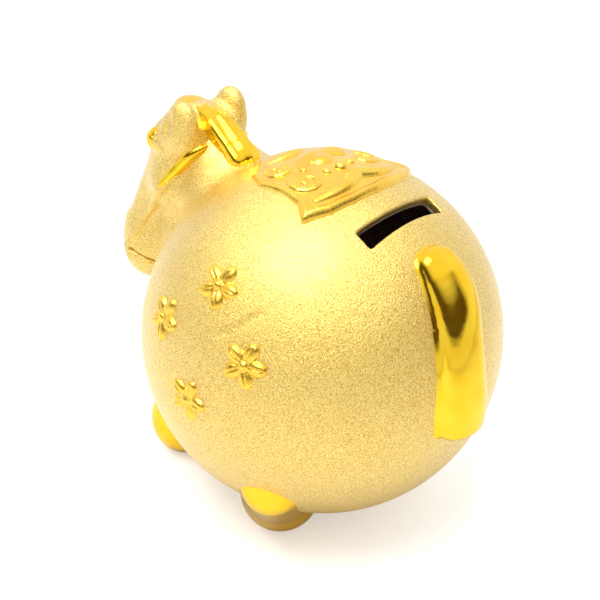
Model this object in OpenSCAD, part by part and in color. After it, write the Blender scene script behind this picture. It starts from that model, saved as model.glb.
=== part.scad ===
// Horse-shaped money bank: a hollow ceramic ball, pressed as an upper and a lower
// half and luted at the waist, on four short feet, with a luted-on head, mane,
// saddle and tail, and a soft stopper in the base.
// The horse faces -Y, its left side is +X, and it stands on z = 0.

/* [Body] */
// Diameter of the ball-shaped body
body_d = 110; // [96:1:136]
// Thickness of the ball's wall
wall_t = 3.6; // [2.8:0.1:4.2]
// Gap between the bottom of the ball and the table
belly_gap = 2.2; // [1.8:0.1:4]

/* [Coin slot] */
// Length of the coin slot, across the back
slot_l = 33; // [26:0.5:38]
// Width of the coin slot, along the back
slot_w = 5.3; // [5.2:0.1:6.4]
// Place of the slot on the back, in degrees behind the top of the ball
slot_tilt = 26; // [24:0.5:28]

/* [Base and stopper] */
// Diameter of the emptying hole in the base
bore_d = 29; // [24:0.5:30]
// How far the hole is turned from straight down towards the front feet, in degrees
base_tilt = 15; // [12:0.5:17]
// Gap all round the stopper's neck in the hole
neck_clearance = 0.05; // [0.02:0.01:0.1]
// How far the stopper's neck stands up from the ground base
neck_h = 8; // [6:0.5:12]
// Wall of the stopper's cup
cup_t = 2; // [1.5:0.1:3]
// How far the stopper's flange reaches beyond the hole
flange_lip = 2.5; // [2:0.1:3]
// Thickness of the flange
flange_t = 1.5; // [1.2:0.1:1.8]
// Length of the finger tab from its hinge line
tab_l = 14; // [11:0.5:16]
// Width of the finger tab
tab_w = 9; // [7:0.5:11]
// Thickness of the finger tab
tab_t = 1.2; // [1:0.1:1.5]

/* [Head] */
// Thickness of the head casting's wall
head_wall_t = 3.4; // [2.5:0.1:4]
// Radius of the muzzle
muzzle_r = 10.5; // [9:0.5:12]
// Height of the ears
ear_h = 15; // [12:0.5:17]
// Radius of the ridge of the mane
mane_r = 4; // [3:0.25:5]

/* [Saddle and tail] */
// Thickness of the saddle pad on the ball
saddle_t = 1.6; // [1.2:0.1:2.5]
// Width of the saddle across the back
saddle_w = 48; // [40:1:54]
// Thickness of the tail on the ball
tail_t = 5.2; // [4:0.1:7]
// Width of the tail at its top
tail_w_top = 10; // [8:0.5:12]
// Width of the tail down the back
tail_w = 17; // [14:0.5:20]
// How far the tail hangs over to the horse's left
tail_swing = 5; // [0:0.5:8]

/* [Feet and flanks] */
// Radius of each foot
foot_r = 12; // [10:0.25:14]
// Distance from the middle of a flank to each of its blossoms, in degrees
blossom_spread = 18; // [16:0.5:22]
// Radius of one petal
petal_r = 2.6; // [2:0.1:3]

/* [Hidden] */

LEFT = 1;
RIGHT = -1;
UPPER = 1;
LOWER = -1;
SATIN_GOLD = [0.86, 0.68, 0.28];
BRIGHT_GOLD = [0.98, 0.78, 0.10];
SOFT_PVC = [0.88, 0.87, 0.82];

body_r = body_d / 2;
inner_r = body_r - wall_t;
stand_h = body_r + belly_gap;       // centre of the ball above the table

// A point at a distance from the ball's centre: tilt is measured from straight
// up, turn from straight back towards the horse's left.
function on_ball(dist, tilt, turn) = dist * [
    sin(tilt) * sin(turn), sin(tilt) * cos(turn), cos(tilt)
];
function side(p, s) = [s * p[0], p[1], p[2]];

// Head: named points of the skull, from where the neck leaves the ball.
neck_tilt = 40;
neck_root = on_ball(body_r, neck_tilt, 180);
neck_base = neck_root + [13, 5, -12];
neck_top = neck_root + [7, -11, -2];
crest_low = neck_root + [0, -2.5, 2];
crest_high = neck_root + [0, -10.5, 7];
poll = neck_root + [5, -19.5, 7.5];
cheek = neck_root + [8, -22, -9];
brow = neck_root + [5, -26, 0];
muzzle = neck_root + [6, -34, -35.5];
throat = neck_root + [5, -19, -31];
neck_r = 11;
crest_r = 7;
poll_r = 8;
cheek_r = 10;
throat_r = 12;
neck_hole_r = 10;

// Mane: an arc over the crest of the neck.
mane_centre = neck_root + [0, -19.3, -15];
mane_arc_r = 28.5;
mane_from = 38;
mane_to = 98;

// Tail: cross-sections down the back, each with its angle behind the top of the
// ball, its share of the swing and its share of the width.
tail_sections = [
    [42, 0.25, 0], [47, 0.2, 0.8], [54, 0.3, 1], [62, 0.65, 0.95], [71, 1, 0.93],
    [81, 1.05, 1], [91.5, 0.9, 1.04]
];
tail_edge_r = 3.8;

// Front and back extent, which place the ball over the middle of the part.
front_y = muzzle[1] - muzzle_r;
back_y = body_r + tail_t;
ball_centre = [0, -(front_y + back_y) / 2, stand_h];

// Base: the ball is ground flat where the flange seats, square to the hole's axis.
flange_r = bore_d / 2 + flange_lip;
base_margin = 1;
base_r = flange_r + base_margin;
base_z = -sqrt(pow(body_r, 2) - pow(base_r, 2));
neck_r_out = bore_d / 2 - neck_clearance;
tab_gap = 0.3;
tab_hinge_y = 2;
tab_hinge_z = base_z - flange_t - tab_gap - tab_t / 2;
lug_t = 1.6;

slot_front_lean = 20;
slot_rear_lean = 5;
slot_up = 9;
slot_down = 11;

relief_lump = 6.5;

module at_ball() {
    translate(ball_centre) children();
}

module luted() {
    // a piece that sits on the outside of the ball
    at_ball() difference() {
        children();
        sphere(r = body_r, $fn = 240);
    }
}

module along_hole() {
    // z runs down the emptying hole's axis, from the ball's centre upwards
    rotate([-base_tilt, 0, 0]) children();
}

// ---- body ----

module slot_cutter() {
    mid = [body_r * sin(slot_tilt), body_r * cos(slot_tilt)];
    along = [cos(slot_tilt), -sin(slot_tilt)];
    front = [sin(slot_front_lean), cos(slot_front_lean)];
    rear = [sin(slot_rear_lean), cos(slot_rear_lean)];
    a = mid - along * slot_w / 2;
    b = mid + along * slot_w / 2;
    rotate([90, 0, 90])
        linear_extrude(slot_l, center = true)
            polygon([
                a + front * slot_up, b + rear * slot_up,
                b - rear * slot_down, a - front * slot_down
            ]);
}

module casting() {
    difference() {
        sphere(r = body_r, $fn = 128);
        sphere(r = inner_r, $fn = 128);
        slot_cutter();
        along_hole() {
            translate([0, 0, base_z - body_r])
                cylinder(h = body_r, r = body_r, $fn = 96);
            translate([0, 0, -body_r - 1])
                cylinder(h = wall_t + base_r, d = bore_d, $fn = 96);
        }
        rotate([neck_tilt, 0, 0])
            cylinder(h = body_r + 2, r = neck_hole_r, $fn = 64);
    }
}

module body_half(s) {
    color(SATIN_GOLD) at_ball() intersection() {
        casting();
        translate([-body_d, -body_d, s == UPPER ? 0 : -body_d]) cube([2 * body_d, 2 * body_d, body_d]);
    }
}

// ---- head ----

module ball_at(p, r) {
    translate(p) sphere(r = r, $fn = 28);
}

module pair_at(p, r) {
    ball_at(side(p, LEFT), r);
    ball_at(side(p, RIGHT), r);
}

module head_form(shrink) {
    hull() {
        pair_at(neck_base, neck_r - shrink);
        pair_at(neck_top, poll_r - shrink);
        ball_at(crest_low, crest_r - shrink);
        ball_at(crest_high, crest_r - shrink);
    }
    hull() {
        pair_at(neck_top, poll_r - shrink);
        ball_at(crest_high, crest_r - shrink);
        pair_at(poll, poll_r - shrink);
        pair_at(cheek, cheek_r - shrink);
        pair_at(brow, poll_r - shrink);
    }
    hull() {
        pair_at(cheek, cheek_r - shrink);
        pair_at(brow, poll_r - shrink);
        pair_at(muzzle, muzzle_r - shrink);
        pair_at(throat, throat_r - shrink);
    }
}

module head_shell() {
    color(SATIN_GOLD) luted() difference() {
        head_form(0);
        head_form(head_wall_t);
    }
}

module ear(s) {
    ear_root = poll + [5.5, 1.5, 0];
    color(SATIN_GOLD) at_ball()
        translate(side(ear_root, s))
            rotate([0, s * 8, 0])
                hull() {
                    translate([0, 0, 1]) scale([1, 0.7, 1]) sphere(r = 4.4, $fn = 24);
                    translate([0, 0, ear_h * 0.4]) scale([1, 0.6, 1]) sphere(r = 4.4, $fn = 24);
                    translate([0, 0, ear_h - 6]) sphere(r = 2.4, $fn = 24);
                }
}

module eye(s) {
    color(BRIGHT_GOLD) at_ball()
        ball_at(side(brow + [6, -3.5, 0.5], s), 3);
}

module forelock() {
    color(BRIGHT_GOLD) at_ball() hull() {
        ball_at(poll + [-5, -3, 5], 4.5);
        ball_at(poll + [-5, -7.5, 0.5], 3);
    }
}

module mane() {
    color(BRIGHT_GOLD) luted()
        translate(mane_centre)
            rotate([mane_from, 0, 0])
                rotate([0, 90, 0])
                    rotate([0, 0, 90])
                        rotate_extrude(angle = mane_to - mane_from, $fn = 96)
                            translate([mane_arc_r, 0]) circle(r = mane_r, $fn = 32);
}

module cheek_lock(s) {
    lock = [
        [9, -6, 9.5, 2.6], [14.5, -11, 2.5, 2.4], [16.3, -17.5, -8, 2.2],
        [14.5, -25.5, -20, 2], [13, -32, -31, 1.8]
    ];
    color(BRIGHT_GOLD) at_ball()
        for (i = [0 : len(lock) - 2])
            hull() {
                ball_at(side(neck_root + [lock[i][0], lock[i][1], lock[i][2]], s), lock[i][3]);
                ball_at(side(neck_root + [lock[i + 1][0], lock[i + 1][1], lock[i + 1][2]], s),
                    lock[i + 1][3]);
            }
}

// ---- saddle ----

module saddle_outline(grow) {
    half = saddle_w / 2 + grow;
    rear = 8 + grow;
    bow = 5.5;
    front = -24 - grow;
    waist = half - 5;
    polygon([
        [half, rear], [half / 2, rear + bow * 0.75], [0, rear + bow], [-half / 2, rear + bow * 0.75],
        [-half, rear], [-waist, rear - 6], [-waist, -12 - grow / 2], [-waist / 2, front],
        [waist / 2, front], [waist, -12 - grow / 2], [waist, rear - 6]
    ]);
}

module saddle_pad() {
    color(BRIGHT_GOLD) luted() intersection() {
        sphere(r = body_r + saddle_t, $fn = 128);
        linear_extrude(body_r + 10) saddle_outline(0);
    }
}

module ball_skin(from_r, to_r) {
    difference() {
        sphere(r = to_r, $fn = 128);
        sphere(r = from_r, $fn = 128);
    }
}

module saddle_rim() {
    // the turned-up edge across the rear of the pad
    rim_t = 0.9;
    rim_w = 2.4;
    color(BRIGHT_GOLD) at_ball() intersection() {
        ball_skin(body_r + saddle_t, body_r + saddle_t + rim_t);
        linear_extrude(body_r + 10) difference() {
            saddle_outline(0);
            translate([0, -rim_w]) saddle_outline(0);
        }
    }
}

module relief_boss(x, y, r) {
    z = sqrt(pow(body_r + saddle_t, 2) - x * x - y * y);
    sink = 0.72 * r;
    k = (body_r + saddle_t - sink) / (body_r + saddle_t);
    translate(k * [x, y, z]) sphere(r = r, $fn = 48);
}

module saddle_relief() {
    color(BRIGHT_GOLD) at_ball() difference() {
        union() {
            relief_boss(0, -6, relief_lump);
            for (s = [LEFT, RIGHT]) {
                relief_boss(s * 7.5, -1, relief_lump - 1.5);
                relief_boss(s * 13.5, -7, relief_lump - 2);
                relief_boss(s * 7, -14, relief_lump - 1.5);
            }
            relief_boss(0, 4, relief_lump - 2);
        }
        sphere(r = body_r + saddle_t, $fn = 128);
    }
}

// ---- tail ----

module tail_section(i) {
    angle = tail_sections[i][0];
    sway = tail_sections[i][1] * tail_swing;
    half = max(tail_w_top, tail_sections[i][2] * tail_w) / 2;
    dist = body_r + tail_t - tail_edge_r;
    for (s = [LEFT, RIGHT])
        translate(on_ball(dist, angle, 0) + [sway + s * (half - tail_edge_r), 0, 0])
            sphere(r = tail_edge_r, $fn = 24);
    translate(on_ball(dist - 1, angle, 0) + [sway, 0, 0]) sphere(r = tail_edge_r + 1, $fn = 24);
}

module tail() {
    color(BRIGHT_GOLD) luted()
        for (i = [0 : len(tail_sections) - 2])
            hull() {
                tail_section(i);
                tail_section(i + 1);
            }
}

// ---- feet ----

foot_z = foot_r - stand_h - 0.5;    // each bulb is ground flat by half a millimetre
rear_sink = 3.5;                    // centre of a rear bulb inside the ball's skin
front_rise = 8.8;                   // centre of a front bulb outside it
rear_turn = 75.4;
front_turn = 158.9;

// A foot's centre: dist from the ball's centre, turned from straight back.
function foot_at(dist, turn) =
    let(out = sqrt(max(1, dist * dist - foot_z * foot_z)))
    [out * sin(turn), out * cos(turn), foot_z];

rear_foot = foot_at(body_r - rear_sink, rear_turn);
front_foot = foot_at(body_r + front_rise, front_turn);
shin = [front_foot[0] * 0.81, front_foot[1] * 0.8, foot_z + 9];

module ground_cut() {
    translate([0, 0, -stand_h - foot_r])
        cylinder(h = foot_r, r = body_r * 3, $fn = 96);
}

module rear_foot(s) {
    color(BRIGHT_GOLD) luted() difference() {
        translate(side(rear_foot, s)) sphere(r = foot_r, $fn = 64);
        ground_cut();
    }
}

module front_foot(s) {
    color(BRIGHT_GOLD) luted() difference() {
        union() {
            translate(side(front_foot, s)) sphere(r = foot_r, $fn = 64);
            translate(side(shin, s)) sphere(r = foot_r - 1, $fn = 64);
        }
        ground_cut();
    }
}

// ---- flank blossoms ----

module blossom() {
    for (i = [0 : 4])
        rotate([0, 0, 72 * i]) translate([petal_r * 1.35, 0, 0]) sphere(r = petal_r, $fn = 32);
}

module blossoms(s) {
    flank_tilt = 71.5;
    flank_turn = 93;
    color(BRIGHT_GOLD) luted()
        for (step = [0 : 3])
            rotate([0, 0, -s * flank_turn])
                rotate([-flank_tilt, 0, 0])
                    rotate([0, 0, s * 90 * step])
                        rotate([-blossom_spread, 0, 0])
                            translate([0, 0, body_r - petal_r * 0.35]) blossom();
}

// ---- stopper ----

module stopper() {
    lug_x = tab_w / 2 + tab_gap;
    color(SOFT_PVC) at_ball() along_hole() {
        rotate_extrude($fn = 96)
            polygon([
                [0, base_z - flange_t], [flange_r, base_z - flange_t], [flange_r, base_z],
                [neck_r_out, base_z], [neck_r_out, base_z + neck_h],
                [neck_r_out - cup_t, base_z + neck_h], [neck_r_out - cup_t, base_z + cup_t],
                [0, base_z + cup_t]
            ]);
        for (s = [LEFT, RIGHT])
            translate([s * (lug_x + lug_t / 2), tab_hinge_y, base_z - flange_t - tab_t / 2])
                cube([lug_t, 3, tab_t], center = true);
    }
}

module pull_tab() {
    straight = tab_l - tab_w / 2;
    color(SOFT_PVC) at_ball() along_hole() translate([0, tab_hinge_y, tab_hinge_z]) {
        rotate([0, 90, 0])
            cylinder(h = tab_w, d = tab_t, center = true, $fn = 48);
        translate([-tab_w / 2, -straight, -tab_t / 2])
            cube([tab_w, straight, tab_t]);
        translate([0, -straight, -tab_t / 2])
            cylinder(h = tab_t, d = tab_w, $fn = 64);
    }
}

body_half(UPPER);  // body_upper
body_half(LOWER);  // body_lower
head_shell();
ear(LEFT);  // ear_left
ear(RIGHT);  // ear_right
eye(LEFT);  // eye_left
eye(RIGHT);  // eye_right
forelock();
mane();
cheek_lock(LEFT);  // cheek_lock_left
cheek_lock(RIGHT);  // cheek_lock_right
saddle_pad();
saddle_rim();
saddle_relief();
tail();
front_foot(LEFT);  // foot_front_left
front_foot(RIGHT);  // foot_front_right
rear_foot(LEFT);  // foot_rear_left
rear_foot(RIGHT);  // foot_rear_right
blossoms(LEFT);  // blossoms_left
blossoms(RIGHT);  // blossoms_right
stopper();
pull_tab();
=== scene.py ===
"""Gold horse-shaped money bank: sculpted pieces, gold and clay finishes, studio and camera.

Shapes are written as distance functions in millimetres, measured from the centre of the
ball-shaped body (x to the horse's left, y to its tail, z up), then meshed at real size.
"""

import bpy
import numpy as np
import openvdb
from mathutils import Matrix, Vector


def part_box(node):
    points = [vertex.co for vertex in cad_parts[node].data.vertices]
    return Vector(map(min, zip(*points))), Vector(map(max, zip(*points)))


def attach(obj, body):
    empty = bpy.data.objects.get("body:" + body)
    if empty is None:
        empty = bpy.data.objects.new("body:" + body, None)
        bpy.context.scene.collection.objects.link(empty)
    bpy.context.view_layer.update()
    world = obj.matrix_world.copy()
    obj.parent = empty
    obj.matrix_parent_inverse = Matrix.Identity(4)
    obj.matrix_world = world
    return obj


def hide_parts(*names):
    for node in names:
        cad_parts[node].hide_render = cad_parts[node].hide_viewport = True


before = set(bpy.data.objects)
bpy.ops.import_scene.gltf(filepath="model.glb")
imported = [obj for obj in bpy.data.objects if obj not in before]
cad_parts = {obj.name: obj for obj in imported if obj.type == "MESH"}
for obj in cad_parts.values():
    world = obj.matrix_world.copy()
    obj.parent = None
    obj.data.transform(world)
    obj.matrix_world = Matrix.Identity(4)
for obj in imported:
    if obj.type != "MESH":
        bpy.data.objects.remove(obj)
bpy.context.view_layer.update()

# ---------------------------------------------------------------- sizes, from the frame

MM = 0.001
LEFT, RIGHT = 1, -1
WALL = 3.6          # thickness of the ball's wall
FOOT_R = 12.0       # radius of a foot's bulb
FOOT_FLAT = 0.5     # how much of its bottom is ground away

upper_lo, upper_hi = (np.array(v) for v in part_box("body_upper"))
BALL_R = round((upper_hi[0] - upper_lo[0]) / 2 / MM)
CENTRE = np.array([0, (upper_lo[1] + upper_hi[1]) / 2, upper_hi[2] - BALL_R * MM])
FLOOR_Z = -CENTRE[2] / MM


def in_ball_frame(node):
    """A node's box corners in millimetres from the ball's centre."""
    lo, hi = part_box(node)
    return (np.array(lo) - CENTRE) / MM, (np.array(hi) - CENTRE) / MM


# ---------------------------------------------------------------- distance functions


def norm(v):
    """Lengths of vectors along the last axis."""
    return np.sqrt((v * v).sum(-1))


def vec(*v):
    return np.array(v, dtype=np.float32)


def on_ball(tilt, turn, dist=BALL_R):
    """A point over the ball: tilt from straight up, turn from the tail towards the left."""
    t, a = np.radians(tilt), np.radians(turn)
    return dist * vec(np.sin(t) * np.sin(a), np.sin(t) * np.cos(a), np.cos(t))


def smin(a, b, k):
    """Union with a fillet about k wide."""
    h = np.clip(0.5 + 0.5 * (b - a) / k, 0, 1)
    return b + (a - b) * h - k * h * (1 - h)


def smax(a, b, k):
    """Intersection with an edge rounded over about k."""
    return -smin(-a, -b, k)


def blend(k, *parts):
    """Union of several parts with fillets about k wide."""
    out = parts[0]
    for part in parts[1:]:
        out = smin(out, part, k)
    return out


def ball(p, r=BALL_R):
    return norm(p) - r


def sphere(p, c, r):
    return norm(p - vec(*c)) - r


def ellipsoid(p, c, radii, turn=None):
    """An ellipsoid, turned by (degrees, axis) when turn is given."""
    q = p - vec(*c)
    if turn is not None:
        q = q @ np.array(Matrix.Rotation(np.radians(turn[0]), 3, turn[1]), dtype=np.float32)
    r = vec(*radii)
    k0, k1 = norm(q / r), norm(q / (r * r))
    return k0 * (k0 - 1) / np.maximum(k1, 1e-6)


def cone(p, a, b, ra, rb):
    """A rounded cone from a to b."""
    a, b = vec(*a), vec(*b)
    ab = b - a
    h = np.clip(((p - a) @ ab) / (ab @ ab), 0, 1)
    return norm(p - a - h[..., None] * ab) - (ra + (rb - ra) * h)


def smooth_line(points, steps):
    """A smooth curve through the points, with a few steps between neighbours."""
    pts = np.array(points, dtype=float)
    pts = np.vstack([2 * pts[0] - pts[1], pts, 2 * pts[-1] - pts[-2]])
    t = np.linspace(0, 1, steps, endpoint=False)[:, None]
    out = []
    for a, b, c, d in zip(pts, pts[1:], pts[2:], pts[3:]):
        bend = (2 * a - 5 * b + 4 * c - d) * t ** 2 + (3 * b - a - 3 * c + d) * t ** 3
        out.append((2 * b + (c - a) * t + bend) / 2)
    return np.vstack(out + [pts[-2:-1]])


def tube(p, points, radii, steps=4):
    """A round strand along a smooth curve, with its thickness at each point."""
    line = smooth_line(np.column_stack([points, radii]), steps)
    legs = [cone(p, a[:3], b[:3], a[3], b[3]) for a, b in zip(line, line[1:])]
    return np.minimum.reduce(legs)


def mirrored(p, soft=0.0):
    """Points folded onto the left half, with the fold rounded over a width of soft."""
    return np.concatenate([np.sqrt(p[..., :1] ** 2 + soft ** 2), p[..., 1:]], -1)


def flipped(p, side):
    """Points of one side of the horse, seen as if they were on its left."""
    return p * vec(side, 1, 1)


def polygon_2d(x, y, corners):
    """Signed distance to a closed outline in the plane."""
    pts = np.array(corners, dtype=np.float32)
    best = np.full(x.shape, 1e9, dtype=np.float32)
    inside = np.zeros(x.shape, dtype=bool)
    for a, b in zip(pts, np.roll(pts, -1, axis=0)):
        ex, ey = b - a
        wx, wy = x - a[0], y - a[1]
        h = np.clip((wx * ex + wy * ey) / (ex * ex + ey * ey), 0, 1)
        best = np.minimum(best, (wx - ex * h) ** 2 + (wy - ey * h) ** 2)
        crosses = (a[1] > y) != (b[1] > y)
        if abs(ey) > 1e-9:
            inside ^= crosses & (wx < ex * wy / ey)
    return np.where(inside, -1, 1) * np.sqrt(best)


# ---------------------------------------------------------------- meshing


def ticks(lo, hi, step, fine=()):
    """Grid lines from lo to hi, closer together inside each fine stretch (from, to, step)."""
    out = [lo]
    while out[-1] < hi:
        here = out[-1]
        gap = min([step] + [s for a, b, s in fine if a - step < here < b])
        out.append(here + gap)
    return np.array(out, dtype=np.float32)


SLAB_POINTS = 600_000   # grid points worked out at a time
FIELD_REACH = 4.0       # distances beyond this many millimetres are cut off


def field_on(axes, shape):
    """Distances at every crossing of the grid lines."""
    n = [len(a) for a in axes]
    out = np.empty(n, dtype=np.float32)
    slab = max(1, int(SLAB_POINTS / (n[1] * n[2])))
    for i in range(0, n[0], slab):
        g = np.stack(np.meshgrid(axes[0][i:i + slab], axes[1], axes[2], indexing="ij"), -1)
        out[i:i + slab] = shape(g)
    return out


def settle(points, shape, rounds=3):
    """Moves points onto the shape's surface, so that polished faces reflect cleanly."""
    probe, longest_move = 0.05, 0.3
    steps = np.eye(3, dtype=np.float32) * probe
    for _ in range(rounds):
        d = shape(points)
        grad = np.stack([shape(points + step) - shape(points - step) for step in steps], -1)
        grad = grad / (2 * probe)
        length2 = np.maximum((grad * grad).sum(-1), 0.05)
        move = -(d / length2)[:, None] * grad
        far = norm(move)
        points = points + move * np.minimum(1, longest_move / np.maximum(far, 1e-6))[:, None]
    return points


def sculpt(name, shape, lo, hi, step, fine=((), (), ())):
    """A mesh object of the surface where shape(points) is zero, inside a box."""
    axes = [ticks(lo[i], hi[i], step, fine[i]) for i in range(3)]
    grid = openvdb.FloatGrid(FIELD_REACH)
    grid.copyFromArray(np.clip(field_on(axes, shape), -FIELD_REACH, FIELD_REACH))
    found, quads = grid.convertToQuads(0.0)
    points = np.stack([np.interp(found[:, i], np.arange(len(axes[i])), axes[i]) for i in range(3)], -1)
    points = settle(points.astype(np.float32), shape)
    return mesh_object(name, points, quads[:, ::-1])


def mesh_object(name, points, faces):
    """A smooth-shaded object in the scene, from points in the ball's frame."""
    mesh = bpy.data.meshes.new(name)
    world = points.astype(float) * MM + CENTRE
    mesh.from_pydata(world.tolist(), [], faces.tolist())
    mesh.validate()
    mesh.polygons.foreach_set("use_smooth", [True] * len(mesh.polygons))
    mesh.update()
    piece = bpy.data.objects.new(name, mesh)
    bpy.context.scene.collection.objects.link(piece)
    return piece


def place(piece, node, material, body="bank"):
    """Rides a piece on its body in place of its CAD node, with its finish."""
    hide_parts(node)
    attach(piece, body)
    piece.data.materials.append(material)

# ---------------------------------------------------------------- the horse's shapes

EMBED = 0.25      # depth under the ball's skin at which a luted piece's fillet runs out
SKIRT = 1.6       # depth under the skin at which the piece is cut away


def luted(p, shape, fillet, reach=None):
    """A raised shape with a fillet to the ball, cut away inside the ball's wall."""
    reach = fillet * 0.7 if reach is None else reach
    joined = smin(shape, ball(p, BALL_R - EMBED), fillet)
    return np.maximum(np.maximum(joined, shape - reach), -ball(p, BALL_R - SKIRT))


SLOT_L, SLOT_W = 33.0, 5.3
SLOT_TILT = 26.0                              # degrees behind the top of the ball
SLOT_FRONT_LEAN, SLOT_REAR_LEAN = 20.0, 5.0   # degrees of its walls from upright
HOLE_TILT = 15.0                              # degrees of the base hole from straight down
HOLE_R, FLAT_R = 14.5, 18.0                   # radii of the hole and of the ground base round it
FLANK_LINE = (on_ball(66.5, 85.8, BALL_R + 0.1), on_ball(55.9, 73.4, BALL_R + 0.1))


def slot_field(p):
    """The wedge that the coin slot takes out of the ball."""
    mid = on_ball(SLOT_TILT, 0)[1:]
    t, f, r = np.radians([SLOT_TILT, SLOT_FRONT_LEAN, SLOT_REAR_LEAN])
    along = vec(np.cos(t), -np.sin(t))
    q = p[..., 1:]
    front = (q - (mid - along * SLOT_W / 2)) @ vec(-np.cos(f), np.sin(f))
    rear = (q - (mid + along * SLOT_W / 2)) @ vec(np.cos(r), -np.sin(r))
    ends = np.abs(p[..., 0]) - SLOT_L / 2
    return np.maximum(smax(smax(front, rear, 0.4), ends, 1.2), -p[..., 2])


def body_field(p):
    """The hollow ball with its slot, ground base, emptying hole and a line scored on each flank."""
    t = np.radians(HOLE_TILT)
    axis = vec(0, -np.sin(t), -np.cos(t))
    down = p @ axis
    off_axis = norm(p - down[..., None] * axis)
    shell = np.maximum(ball(p), -ball(p, BALL_R - WALL))
    shell = smax(shell, -slot_field(p), 0.9)
    shell = smax(shell, down - np.sqrt(BALL_R ** 2 - FLAT_R ** 2), 0.5)
    hole = np.maximum(off_axis - HOLE_R, -down)
    shell = smax(shell, -hole, 0.5)
    groove = cone(mirrored(p), *FLANK_LINE, 0.7, 0.5)
    return smax(shell, -groove, 0.8)


HEAD_FILLET = 5.0
FACE_FOLD = 2.6     # how softly the two halves of the head meet


def head_field(p):
    """Neck, skull, cheeks, nose and muzzle, without their small features."""
    q = mirrored(p, FACE_FOLD)
    neck = blend(6.0,
        ellipsoid(q, (0, -31, 27.5), (21, 18, 17.3)),
        ellipsoid(q, (0, -41, 34), (15.5, 14, 14)),
        cone(q, (0, -36, 37.5), (0, -48, 43.5), 8.0, 9.5))
    skull = blend(HEAD_FILLET,
        sphere(q, (0, -54.5, 46.6), 11.8),
        sphere(q, (4.5, -57.0, 45.0), 8.6))
    cheek = sphere(q, (6.5, -55.5, 33), 10.0)
    nose = cone(q, (3.0, -62.3, 40), (4, -69.9, 13), 7.2, 9.3)
    muzzle = ellipsoid(q, (5.0, -69.4, 5.2), (10.3, 10.3, 11.6))
    throat = ellipsoid(q, (0, -53, 13.5), (14.5, 14, 19))
    return blend(HEAD_FILLET, neck, throat, skull, cheek, nose, muzzle)


# the ridge from the temple down over the cheek to the muzzle, and its thickness at each point
JAW = [(14.2, -50.5, 39.5), (14.2, -55.0, 33.5), (13.8, -59.0, 28.5), (13.0, -63.6, 22.5),
    (12.6, -68.0, 15.0), (12.4, -70.6, 8.0), (12.6, -70.6, 3.5)]
JAW_RADII = [1.2, 1.5, 1.5, 1.4, 1.3, 1.1, 0.7]


def snapped(points, shape):
    """Points moved onto a shape's surface."""
    return settle(np.array(points, dtype=np.float32), shape, 8)


def face_field(p):
    """The head with its jaw ridge, brows, nostrils and mouth."""
    q = mirrored(p)
    d = head_field(p)
    jaw = tube(q, snapped(JAW, head_field), JAW_RADII, 2)
    d = smin(d, jaw, 1.4)
    brow = cone(q, (6, -64.0, 47.5), (12, -60, 46), 2.4, 2.0)
    d = smin(d, brow, 2.5)
    rim = ellipsoid(q, (6.2, -77.2, 12.6), (3.2, 2.4, 3.4), (25, "Y"))
    nostril = ellipsoid(q, (6.4, -79.4, 12.5), (1.7, 2.0, 2.3), (25, "Y"))
    d = smin(d, rim, 1.8)
    d = smax(d, -nostril, 1.0)
    mouth_z = 6.4 - 0.33 * np.clip(q[..., 1] + 70, 0, 12)
    mouth = np.maximum(np.abs(p[..., 2] - mouth_z) - 0.4, q[..., 1] + 61.5)
    mouth = np.maximum(mouth, -(d + 1.4))
    return smax(d, -mouth, 1.1)


def head_piece(p):
    return luted(p, face_field(p), 3.5)


EYE_AT, EYE_R = (9.5, -62.2, 45.9), 4.1


def lid_groove(q):
    """The line between an eye's upper lid and the eye."""
    from_eye = q - vec(*EYE_AT)
    height = from_eye @ vec(-0.35, 0.35, 0.87)
    return np.hypot(norm(from_eye) - EYE_R - 0.3, height - 0.8) - 0.55


def eye_piece(side):
    def shape(p):
        q = flipped(p, side)
        return smax(sphere(q, EYE_AT, EYE_R), -lid_groove(q), 0.4)
    return shape


def ear_piece(side):
    """A rounded upright ear, hollowed in front and blended into the skull."""
    def shape(p):
        q = flipped(p, side)
        root = ellipsoid(q, (9.4, -52.4, 50.0), (5.0, 7.2, 5.6))
        tip = ellipsoid(q, (10.3, -51.6, 54.0), (3.9, 5.8, 7.4), (-8, "X"))
        leaf = smin(root, tip, 3.0)
        away = vec(0.76, -0.64, 0.1)
        hollow = ellipsoid(q, vec(10.2, -51.8, 54.5) + away * 5.5, (2.2, 2.8, 4.6))
        leaf = smax(leaf, -hollow, 1.4)
        skin = face_field(q)
        joined = np.maximum(smin(leaf, skin + 0.2, 3.0), leaf - 1.6)
        return np.maximum(joined, -(skin + 1.6))
    return shape


# the mane runs along an arc over the neck
CREST_Y, CREST_Z, CREST_R = -54.7, 27.1, 32.2   # the arc's centre and outer radius
MANE_INSET = 4.6                                # from the outer radius to the mane's middle
MANE_SPREAD, MANE_LEAN = 1.35, 1.3              # width over height, and offset to the left
MANE_ENDS = (44, 88)                            # degrees along the arc
MANE_ROUNDNESS = 1.7


def mane_field(p):
    """A strand-ridged crest, thin at the poll and thick at the withers."""
    y, z, x = p[..., 1] - CREST_Y, p[..., 2] - CREST_Z, p[..., 0] - MANE_LEAN
    turn = np.degrees(np.arctan2(z, y))
    r = 4.2 - 1.5 * np.clip((turn - 72) / 22, 0, 1) + 0.9 * np.clip((52 - turn) / 15, 0, 1)
    arc_r = CREST_R - MANE_INSET
    angle = np.clip(np.radians(turn), *np.radians(MANE_ENDS))
    cy, cz = arc_r * np.cos(angle), arc_r * np.sin(angle)
    around = np.arctan2(x, np.hypot(y, z) - arc_r)
    strands = 0.22 * np.cos(around * 7 + 2.2 * np.sin(angle * 5))
    side = np.abs(x) / (MANE_SPREAD * (r + strands))
    rise = np.hypot(y - cy, z - cz) / (r + strands)
    return ((side ** MANE_ROUNDNESS + rise ** MANE_ROUNDNESS) ** (1 / MANE_ROUNDNESS) - 1) * r


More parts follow.
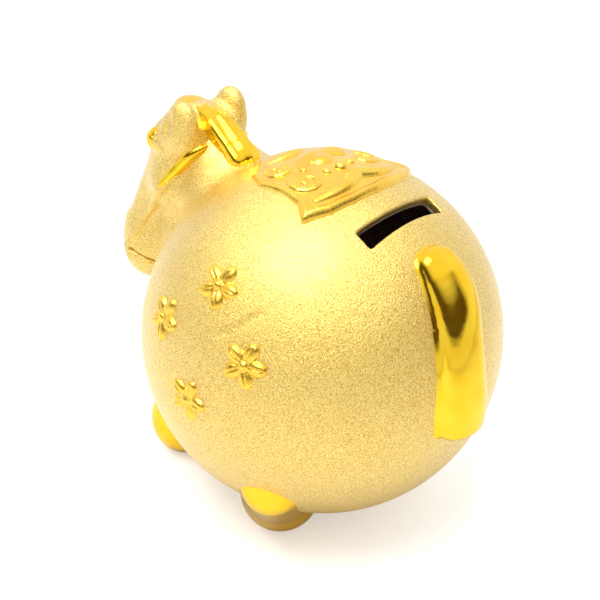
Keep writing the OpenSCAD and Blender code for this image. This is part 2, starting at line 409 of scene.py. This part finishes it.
def mane_piece(p):
    return luted(p, mane_field(p), 0.8)


def forelock_piece(p):
    """A low swelling between the ears with a parted fringe."""
    q = mirrored(p)
    top = ellipsoid(q, (0, -57.0, 54.6), (6.5, 6.4, 3.6), (-12, "X"))
    fringe = tube(q, [(0, -60.0, 53.8), (1.6, -63.8, 50.6), (1.4, -66.8, 46.5)], [3.4, 2.6, 1.2])
    return blend(1.5, top, fringe)


# a lock of hair from behind the ear down over the cheek, and its thickness at each point
LOCK = [(9.4, -42.6, 50.4), (11.2, -44.0, 49.0), (12.8, -46.6, 46.0), (13.8, -49.6, 42.0),
    (14.2, -52.6, 37.6), (14.2, -55.2, 33.6), (13.8, -58.6, 29.2)]
LOCK_RADII = [0.5, 1.4, 1.9, 1.9, 1.6, 1.2, 0.7]


def lock_piece(side):
    points = snapped(LOCK, head_field)

    def shape(p):
        q = flipped(p, side)
        d = tube(q, points, LOCK_RADII)
        return np.maximum(d, -(head_field(q) + 1.8))
    return shape


# the saddle's outline from above, anticlockwise from its rear left corner
SADDLE = [(24.2, 8.6), (17.5, 12.4), (9.0, 14.3), (0, 14.9), (-9.0, 14.3), (-17.5, 12.4), (-24.2, 8.6),
    (-20.3, 3.8), (-18.8, -4), (-18.6, -12), (-14.5, -18.5), (-6.5, -23.5), (0, -25),
    (6.5, -23.5), (14.5, -18.5), (18.6, -12), (18.8, -4), (20.3, 3.8)]


def saddle_height(p, d):
    """Height of the saddle's skin over the ball; d is the distance outside its outline."""
    x, y = p[..., 0], p[..., 1]
    rear = np.clip((y - 2) / 8, 0, 1)
    hem = np.exp(-((d + 1.3) / 1.0) ** 2)
    corner = np.exp(-(((np.abs(x) - 22.5) / 5) ** 2 + ((y - 8) / 4.5) ** 2))
    return 0.8 + hem * (0.3 + 0.55 * rear) + 0.4 * corner


def saddle_piece(p):
    """The pad with its turned-up hem, sunk a little into the ball."""
    q = mirrored(p)
    d = polygon_2d(q[..., 0], q[..., 1], SADDLE) - 0.4
    top = ball(p) - saddle_height(q, d)
    pad = np.maximum(smax(top, d, 0.9), -p[..., 2])
    return np.maximum(pad, -ball(p, BALL_R - 0.8))


def over_saddle(x, y, lift=1.3):
    """A point on the saddle at plan position x, y."""
    r = BALL_R + lift
    return vec(x, y, np.sqrt(r * r - x * x - y * y))


def scroll(p, x, y, r, turns, start, side=1):
    """A flat spiral scroll of tapering round section on the saddle."""
    n = 14
    points, radii = [], []
    for i in range(n):
        u = i / (n - 1)
        a = np.radians(start) + side * u * turns * 2 * np.pi
        rr = r * (1 - 0.78 * u)
        points.append(over_saddle(x + rr * np.cos(a), y + rr * np.sin(a), 0.1))
        radii.append(1.5 - 0.4 * u)
    return tube(p, points, radii, 1)


def relief_field(p):
    """Scrolls, bands and bosses on the saddle."""
    q = mirrored(p)
    boat = tube(q, [over_saddle(0, -9.5, -0.6), over_saddle(4.5, -8.5, -0.4), over_saddle(8.3, -5.2, 0)],
        [2.9, 2.4, 1.5])
    dome = ellipsoid(q, over_saddle(0, -5.2, -0.6), (4.4, 3.4, 2.8))
    parts = [
        boat, dome,
        scroll(q, 12.2, -0.2, 4.8, 1.15, -60),
        scroll(q, 11.8, -12.0, 3.8, 1.1, 160, -1),
        tube(q, [over_saddle(0, 6.5, 0), over_saddle(5.5, 8.6, 0), over_saddle(11.0, 8.6, 0),
            over_saddle(17.0, 7.0, 0)], [2.6, 2.2, 1.9, 1.4]),
        sphere(q, over_saddle(0, 1.2, 0), 2.2),
        tube(q, [over_saddle(0, -16.5, 0), over_saddle(4.0, -17.3, 0), over_saddle(7.5, -18.6, 0)],
            [2.2, 1.7, 1.1]),
        sphere(q, over_saddle(5.0, 0.6, 0), 1.7),
    ]
    return blend(1.4, *parts)


def relief_piece(p):
    return np.maximum(relief_field(p), -ball(p, BALL_R + 0.2))


# the tail's cross-sections: angle behind the top of the ball, middle, half-width, height
TAIL = np.array([
    (38, 1.6, 6.0, 3.2), (41, 1.5, 6.6, 3.9), (44, 1.4, 7.2, 4.4), (47, 1.2, 8.0, 4.9),
    (54, 1.6, 8.6, 5.1), (60, 2.8, 8.3, 5.0), (66, 4.2, 7.9, 4.8), (72, 5.0, 7.9, 4.7),
    (78, 5.3, 8.2, 4.7), (85, 5.2, 8.8, 4.9), (92, 4.6, 8.9, 5.1), (100, 4.0, 8.6, 5.1)])
TAIL_FROM, TAIL_TO = 43.0, 93.0     # degrees behind the top of the ball
ROOT_CAP, TIP_CAP = 4.4, 3.4        # lengths of its rounded ends
TAIL_ROUNDNESS = 2.4


def tail_field(p):
    """A broad rounded ridge down the back, hanging over to the horse's left."""
    x = p[..., 0]
    rise = np.hypot(p[..., 1], p[..., 2]) - np.sqrt(np.maximum(BALL_R ** 2 - x * x, 1))
    theta = np.degrees(np.arctan2(p[..., 1], p[..., 2]))
    at, *sizes = TAIL.T
    mid, half, thick = (np.interp(theta, at, size).astype(np.float32) for size in sizes)
    past = np.maximum(TAIL_FROM - theta, theta - TAIL_TO).clip(0) * np.radians(1) * BALL_R
    cap = np.where(theta < 60, ROOT_CAP, TIP_CAP)
    side = np.abs(x - mid) / half
    e = TAIL_ROUNDNESS
    k0 = (side ** e + (np.abs(rise) / thick) ** e + (past / cap) ** e) ** (1 / e)
    small = np.minimum(np.minimum(half, thick), cap)
    d = (k0 - 1) * small
    return np.where(p[..., 1] > 0, d, 30)


def tail_piece(p):
    return luted(p, tail_field(p), 1.6)


def foot_centre(node):
    """The middle of a foot's bulb, from its outer and front sides in the frame."""
    lo, hi = in_ball_frame(node)
    outer_x = hi[0] if hi[0] > -lo[0] else lo[0]
    x = outer_x - np.sign(outer_x) * FOOT_R
    return vec(x, lo[1] + FOOT_R, FLOOR_Z + FOOT_R - FOOT_FLAT)


def front_shin(p, c):
    """The short leg from a front foot up into the ball."""
    root = vec(c[0] * 0.8, c[1] + 9.5, c[2] + 11)
    return cone(p, c, root, FOOT_R - 0.8, FOOT_R - 0.5)


def haunch(p, c):
    """The swelling from a rear foot up the flank."""
    top = on_ball(126, np.sign(c[0]) * 68, BALL_R - 5.3)
    return cone(p, c, top, FOOT_R - 0.4, FOOT_R - 2.4)


def foot_piece(c, leg):
    def shape(p):
        d = smin(sphere(p, c, FOOT_R), leg(p, c), 2.0)
        return smax(luted(p, d, 1.2), FLOOR_Z - p[..., 2], 0.5)
    return shape


def blossom_centres(side):
    """Four blossoms in a diamond round the middle of a flank."""
    tilt, turn, spread = 71.5, 93.0, 18.0
    return [on_ball(tilt - spread, side * turn), on_ball(tilt, side * (turn + spread)),
        on_ball(tilt + spread, side * turn), on_ball(tilt, side * (turn - spread))]


def blossom_field(p, c):
    """Five veined petals round a heart, standing on the ball at c."""
    out = c / norm(c)
    right = np.cross(vec(0, 0, 1), out)
    right /= norm(right)
    up = np.cross(out, right)
    q = p - c
    u, v, w = q @ right, q @ up, q @ out
    angle = np.arctan2(v, u)
    petal = np.round(angle / (2 * np.pi / 5)) * (2 * np.pi / 5)
    pu, pv = u * np.cos(petal) + v * np.sin(petal), -u * np.sin(petal) + v * np.cos(petal)
    local = np.stack([pu - 3.7, pv, w], -1)
    d = ellipsoid(local, (0, 0, 0), (2.9, 2.0, 1.1))
    vein = np.maximum(np.abs(pv) - 0.18, 0.7 - w)
    d = smax(d, -vein, 0.35)
    heart = ellipsoid(np.stack([u, v, w], -1), (0, 0, 0.2), (1.5, 1.5, 1.4))
    return blend(0.5, d, heart)


def blossoms_piece(side):
    def shape(p):
        flowers = np.minimum.reduce([blossom_field(p, c) for c in blossom_centres(side)])
        return luted(p, flowers, 1.0, 0.8)
    return shape


# ---------------------------------------------------------------- materials


def new_material(name):
    """A new material with its node tree and main shader."""
    m = bpy.data.materials.new(name)
    m.use_nodes = True
    tree = m.node_tree
    return m, tree, tree.nodes["Principled BSDF"]


def noise(tree, coords, scale, detail=2.0, rough=0.5):
    n = tree.nodes.new("ShaderNodeTexNoise")
    n.inputs["Scale"].default_value = scale
    n.inputs["Detail"].default_value = detail
    n.inputs["Roughness"].default_value = rough
    tree.links.new(coords, n.inputs["Vector"])
    return n


def ramp(tree, fac, stops):
    """A colour ramp with stops of (position, colour)."""
    r = tree.nodes.new("ShaderNodeValToRGB")
    while len(r.color_ramp.elements) < len(stops):
        r.color_ramp.elements.new(0.5)
    for e, (at, colour) in zip(r.color_ramp.elements, stops):
        e.position = at
        e.color = (*colour, 1)
    tree.links.new(fac, r.inputs["Fac"])
    return r


def bump(tree, height, strength, distance, normal=None):
    b = tree.nodes.new("ShaderNodeBump")
    b.inputs["Strength"].default_value = strength
    b.inputs["Distance"].default_value = distance
    tree.links.new(height, b.inputs["Height"])
    if normal is not None:
        tree.links.new(normal, b.inputs["Normal"])
    return b


def object_coords(tree):
    return tree.nodes.new("ShaderNodeTexCoord").outputs["Object"]


def satin_gold():
    """Metal-coated glaze over a fine sand texture."""
    m, tree, shader = new_material("satin_gold")
    at = object_coords(tree)
    grain = noise(tree, at, scale=2600, detail=2.0, rough=0.6)
    clumps = noise(tree, at, scale=900, detail=1.0, rough=0.5)
    tone = noise(tree, at, scale=45, detail=2.0, rough=0.5)
    colour = ramp(tree, grain.outputs["Fac"], [(0.36, (0.62, 0.38, 0.07)), (0.5, (0.97, 0.69, 0.16)),
        (0.64, (1.0, 0.83, 0.30))])
    tree.links.new(colour.outputs["Color"], shader.inputs["Base Color"])
    rough = ramp(tree, tone.outputs["Fac"], [(0.3, (0.34,) * 3), (0.7, (0.44,) * 3)])
    tree.links.new(rough.outputs["Color"], shader.inputs["Roughness"])
    b1 = bump(tree, clumps.outputs["Fac"], strength=0.15, distance=0.0006)
    b2 = bump(tree, grain.outputs["Fac"], strength=0.75, distance=0.0004, normal=b1.outputs["Normal"])
    tree.links.new(b2.outputs["Normal"], shader.inputs["Normal"])
    shader.inputs["Metallic"].default_value = 1.0
    shader.inputs["Coat Weight"].default_value = 0.7
    shader.inputs["Coat Roughness"].default_value = 0.3
    return m


def bright_gold():
    """Metal-coated glossy glaze with a faint orange-peel flow."""
    m, tree, shader = new_material("bright_gold")
    at = object_coords(tree)
    flow = noise(tree, at, scale=140, detail=2.0, rough=0.5)
    smudge = noise(tree, at, scale=380, detail=3.0, rough=0.6)
    colour = ramp(tree, flow.outputs["Fac"], [(0.3, (1.0, 0.61, 0.025)), (0.7, (1.0, 0.70, 0.05))])
    tree.links.new(colour.outputs["Color"], shader.inputs["Base Color"])
    rough = ramp(tree, smudge.outputs["Fac"], [(0.35, (0.07,) * 3), (0.75, (0.15,) * 3)])
    tree.links.new(rough.outputs["Color"], shader.inputs["Roughness"])
    b = bump(tree, flow.outputs["Fac"], strength=0.12, distance=0.0008)
    tree.links.new(b.outputs["Normal"], shader.inputs["Normal"])
    shader.inputs["Metallic"].default_value = 1.0
    return m


def soft_gold():
    """Thickly lustred relief under a thin clear coat, duller than the bright gold."""
    m, tree, shader = new_material("soft_gold")
    at = object_coords(tree)
    grain = noise(tree, at, scale=1900, detail=2.0, rough=0.6)
    flow = noise(tree, at, scale=140, detail=2.0, rough=0.5)
    colour = ramp(tree, flow.outputs["Fac"], [(0.3, (1.0, 0.60, 0.06)), (0.7, (1.0, 0.69, 0.10))])
    tree.links.new(colour.outputs["Color"], shader.inputs["Base Color"])
    rough = ramp(tree, grain.outputs["Fac"], [(0.35, (0.24,) * 3), (0.75, (0.36,) * 3)])
    tree.links.new(rough.outputs["Color"], shader.inputs["Roughness"])
    b = bump(tree, grain.outputs["Fac"], strength=0.3, distance=0.0002)
    tree.links.new(b.outputs["Normal"], shader.inputs["Normal"])
    shader.inputs["Metallic"].default_value = 1.0
    shader.inputs["Coat Weight"].default_value = 0.3
    shader.inputs["Coat Roughness"].default_value = 0.15
    return m


def raw_clay():
    """Unglazed earthenware inside the casting."""
    m, tree, shader = new_material("raw_clay")
    at = object_coords(tree)
    n = noise(tree, at, scale=260, detail=4.0, rough=0.6)
    colour = ramp(tree, n.outputs["Fac"], [(0.3, (0.44, 0.34, 0.29)), (0.7, (0.56, 0.45, 0.39))])
    tree.links.new(colour.outputs["Color"], shader.inputs["Base Color"])
    b = bump(tree, n.outputs["Fac"], strength=0.4, distance=0.0004)
    tree.links.new(b.outputs["Normal"], shader.inputs["Normal"])
    shader.inputs["Roughness"].default_value = 0.9
    return m


def soft_pvc():
    """Soft, slightly cloudy moulded plastic."""
    m, tree, shader = new_material("soft_pvc")
    at = object_coords(tree)
    n = noise(tree, at, scale=700, detail=3.0, rough=0.55)
    colour = ramp(tree, n.outputs["Fac"], [(0.3, (0.74, 0.73, 0.68)), (0.7, (0.82, 0.81, 0.76))])
    tree.links.new(colour.outputs["Color"], shader.inputs["Base Color"])
    rough = ramp(tree, n.outputs["Fac"], [(0.3, (0.38,) * 3), (0.7, (0.5,) * 3)])
    tree.links.new(rough.outputs["Color"], shader.inputs["Roughness"])
    b = bump(tree, n.outputs["Fac"], strength=0.15, distance=0.0002)
    tree.links.new(b.outputs["Normal"], shader.inputs["Normal"])
    shader.inputs["Subsurface Weight"].default_value = 0.15
    shader.inputs["Subsurface Radius"].default_value = (0.004, 0.004, 0.003)
    return m


SATIN, BRIGHT, SOFT = satin_gold(), bright_gold(), soft_gold()
CLAY, PVC = raw_clay(), soft_pvc()

# ---------------------------------------------------------------- camera

CAM_DIST = 6.5                                  # in ball radii
CAM_LIFT, CAM_TURN, CAM_ROLL = 31.9, 52.6, 5.0  # degrees; turned from the tail to the left
LENS_MM, SENSOR_MM = 69.9, 36.0
SHIFT_X, SHIFT_Y = -0.0377, 0.0533


def add_camera():
    e, a, roll = np.radians([CAM_LIFT, CAM_TURN, CAM_ROLL])
    away = np.array([np.cos(e) * np.sin(a), np.cos(e) * np.cos(a), np.sin(e)])
    right = np.array([-np.cos(a), np.sin(a), 0])
    up = np.cross(away, right)
    turned_right = np.cos(roll) * right + np.sin(roll) * up
    turned_up = np.cos(roll) * up - np.sin(roll) * right
    data = bpy.data.cameras.new("camera")
    data.lens, data.sensor_width = LENS_MM, SENSOR_MM
    data.shift_x, data.shift_y = SHIFT_X, SHIFT_Y
    data.clip_start, data.clip_end = 0.01, 20
    cam = bpy.data.objects.new("camera", data)
    bpy.context.scene.collection.objects.link(cam)
    place_at = Vector(CENTRE + away * CAM_DIST * BALL_R * MM)
    turn = Matrix((turned_right, turned_up, away)).transposed()
    cam.matrix_world = Matrix.Translation(place_at) @ turn.to_4x4()
    bpy.context.scene.camera = cam


add_camera()

# ---------------------------------------------------------------- the pieces


CLAY_WITHIN = BALL_R - 2.4      # nearer the ball's centre than this, the clay is bare


def add_body():
    """The ball, with fine meshing round the slot and clay on its inside."""
    slot_mid = on_ball(SLOT_TILT, 0)
    # stretches along x, y and z round the slot's ends and walls, and the ground base
    fine = (
        ((-18.5, -14.5, 0.35), (14.5, 18.5, 0.35)),
        ((slot_mid[1] - 5, slot_mid[1] + 5, 0.35),),
        ((slot_mid[2] - 8, slot_mid[2] + 4, 0.45), (-55, -48, 0.6)),
    )
    edge = BALL_R + 1.5
    piece = sculpt("body", body_field, (-edge,) * 3, (edge,) * 3, 1.0, fine)
    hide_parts("body_lower")
    place(piece, "body_upper", SATIN)
    piece.data.materials.append(CLAY)
    faces = piece.data.polygons
    mid = np.empty(len(faces) * 3)
    faces.foreach_get("center", mid)
    depth = norm((mid.reshape(-1, 3) - CENTRE) / MM)
    faces.foreach_set("material_index", (depth < CLAY_WITHIN).astype(np.int32))


def box_on(side, lo, hi):
    """A box given for the left side, on either side."""
    if side == LEFT:
        return lo, hi
    return (-hi[0], *lo[1:]), (-lo[0], *hi[1:])


def add(node, shape, lo, hi, step, material):
    """Sculpts a piece inside a box and puts it in place of the CAD node of that name."""
    place(sculpt(node, shape, lo, hi, step), node, material)


def add_one_side(side, name):
    """Ear, eye, cheek lock, blossoms and feet of one side."""
    # name, shape, corners of the box it is meshed in, mesh step, finish
    rows = [
        ("ear_", ear_piece, (2, -64, 38), (19, -41, 63), 0.35, SATIN),
        ("eye_", eye_piece, (4, -69, 38), (18, -56, 51.5), 0.35, BRIGHT),
        ("cheek_lock_", lock_piece, (2, -73, 8), (22, -37, 56), 0.4, BRIGHT),
        ("blossoms_", blossoms_piece, (36, -30, -12), (60, 26, 50), 0.35, SOFT),
    ]
    for prefix, shape_of, lo, hi, step, material in rows:
        add(prefix + name, shape_of(side), *box_on(side, lo, hi), step, material)
    for end, leg in (("front", front_shin), ("rear", haunch)):
        node = f"foot_{end}_{name}"
        c = foot_centre(node)
        lo = c - FOOT_R - 3 - vec(14, 0, 0)
        hi = c + FOOT_R + 3 + vec(0, 12, 20) + vec(14, 0, 0)
        add(node, foot_piece(c, leg), lo, hi, 0.6, BRIGHT)


def add_pieces():
    add_body()
    place(sculpt("head", head_piece, (-27, -82, -9), (27, -14, 64), 0.6), "head_shell", SATIN)
    add_one_side(LEFT, "left")
    add_one_side(RIGHT, "right")
    add("mane", mane_piece, (-11, -62, 34), (11, -18, 62), 0.4, BRIGHT)
    add("forelock", forelock_piece, (-7, -70, 40), (7, -44, 62), 0.4, SOFT)
    saddle = sculpt("saddle", saddle_piece, (-28, -29, 42), (28, 19, 60), 0.45)
    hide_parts("saddle_rim")
    place(saddle, "saddle_pad", SOFT)
    add("saddle_relief", relief_piece, (-22, -25, 44), (22, 12, 61), 0.35, SOFT)
    add("tail", tail_piece, (-19, 22, -16), (19, 64, 54), 0.55, BRIGHT)
    for node in ("stopper", "pull_tab"):
        finish_cad(node, PVC)


def finish_cad(node, material):
    """Gives a CAD node that stays as it is its finish."""
    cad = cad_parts[node]
    cad.data.materials.clear()
    cad.data.materials.append(material)


add_pieces()

# ---------------------------------------------------------------- studio


def soft_box(name, place_at, aim, size, power):
    """A square light panel of a size in metres and a power in watts, facing aim."""
    data = bpy.data.lights.new(name, "AREA")
    data.shape = "RECTANGLE"
    data.size, data.size_y = size, size
    data.energy = power
    lamp = bpy.data.objects.new(name, data)
    bpy.context.scene.collection.objects.link(lamp)
    lamp.location = place_at
    lamp.rotation_euler = (Vector(place_at) - Vector(aim)).to_track_quat("Z", "Y").to_euler()


FLOOR_REACH = 3.0       # metres from the middle to each edge


def add_floor():
    """White paper, which shows a little paler to the camera than it lights the object."""
    mesh = bpy.data.meshes.new("floor")
    w = FLOOR_REACH
    mesh.from_pydata([(-w, -w, 0), (w, -w, 0), (w, w, 0), (-w, w, 0)], [], [(0, 1, 2, 3)])
    floor = bpy.data.objects.new("floor", mesh)
    bpy.context.scene.collection.objects.link(floor)
    m, tree, shader = new_material("floor_paper")
    shader.inputs["Base Color"].default_value = (0.82, 0.82, 0.82, 1)
    shader.inputs["Roughness"].default_value = 0.8
    lift = tree.nodes.new("ShaderNodeEmission")
    rays = tree.nodes.new("ShaderNodeLightPath")
    tree.links.new(rays.outputs["Is Camera Ray"], lift.inputs["Strength"])
    lift.inputs["Color"].default_value = (0.45, 0.45, 0.45, 1)
    both = tree.nodes.new("ShaderNodeAddShader")
    tree.links.new(shader.outputs[0], both.inputs[0])
    tree.links.new(lift.outputs[0], both.inputs[1])
    tree.links.new(both.outputs[0], tree.nodes["Material Output"].inputs["Surface"])
    mesh.materials.append(m)


SWEEP_WAY = (-0.79, -0.61, 0.0)     # level direction towards the white sweep
# colours of the rest of the room, by height from level (0) to straight up (1)
ROOM = [(0.0, (0.9,) * 3), (0.17, (0.85, 0.84, 0.8)), (0.26, (0.10, 0.07, 0.04)),
    (0.47, (0.12, 0.09, 0.06)), (0.66, (0.8,) * 3), (0.8, (1.0,) * 3)]


def add_world():
    """White sweep behind the object, bright ceiling, and a dim band on the other sides.

    The camera itself sees plain white in every direction.
    """
    world = bpy.data.worlds.new("studio")
    bpy.context.scene.world = world
    world.use_nodes = True
    tree = world.node_tree
    tree.nodes.clear()
    out = tree.nodes.new("ShaderNodeOutputWorld")
    way = tree.nodes.new("ShaderNodeTexCoord").outputs["Generated"]
    apart = tree.nodes.new("ShaderNodeSeparateXYZ")
    tree.links.new(way, apart.inputs[0])
    room = ramp(tree, apart.outputs["Z"], ROOM)
    toward = tree.nodes.new("ShaderNodeVectorMath")
    toward.operation = "DOT_PRODUCT"
    toward.inputs[1].default_value = SWEEP_WAY
    tree.links.new(way, toward.inputs[0])
    sweep = ramp(tree, toward.outputs["Value"], [(0.0, (0,) * 3), (0.22, (1,) * 3)])
    mixed = tree.nodes.new("ShaderNodeMixRGB")
    mixed.inputs["Color2"].default_value = (1, 1, 1, 1)
    tree.links.new(sweep.outputs["Color"], mixed.inputs["Fac"])
    tree.links.new(room.outputs["Color"], mixed.inputs["Color1"])
    lit = tree.nodes.new("ShaderNodeBackground")
    lit.inputs["Strength"].default_value = 1.0
    tree.links.new(mixed.outputs["Color"], lit.inputs["Color"])
    white = tree.nodes.new("ShaderNodeBackground")
    white.inputs["Color"].default_value = (1, 1, 1, 1)
    rays = tree.nodes.new("ShaderNodeLightPath")
    chosen = tree.nodes.new("ShaderNodeMixShader")
    tree.links.new(rays.outputs["Is Camera Ray"], chosen.inputs[0])
    tree.links.new(lit.outputs[0], chosen.inputs[1])
    tree.links.new(white.outputs[0], chosen.inputs[2])
    tree.links.new(chosen.outputs[0], out.inputs["Surface"])


add_floor()
add_world()
soft_box("key", place_at=(0.33, -0.05, 0.95), aim=(0, 0, 0.05), size=0.6, power=8.0)
bpy.context.scene.view_settings.view_transform = "Standard"
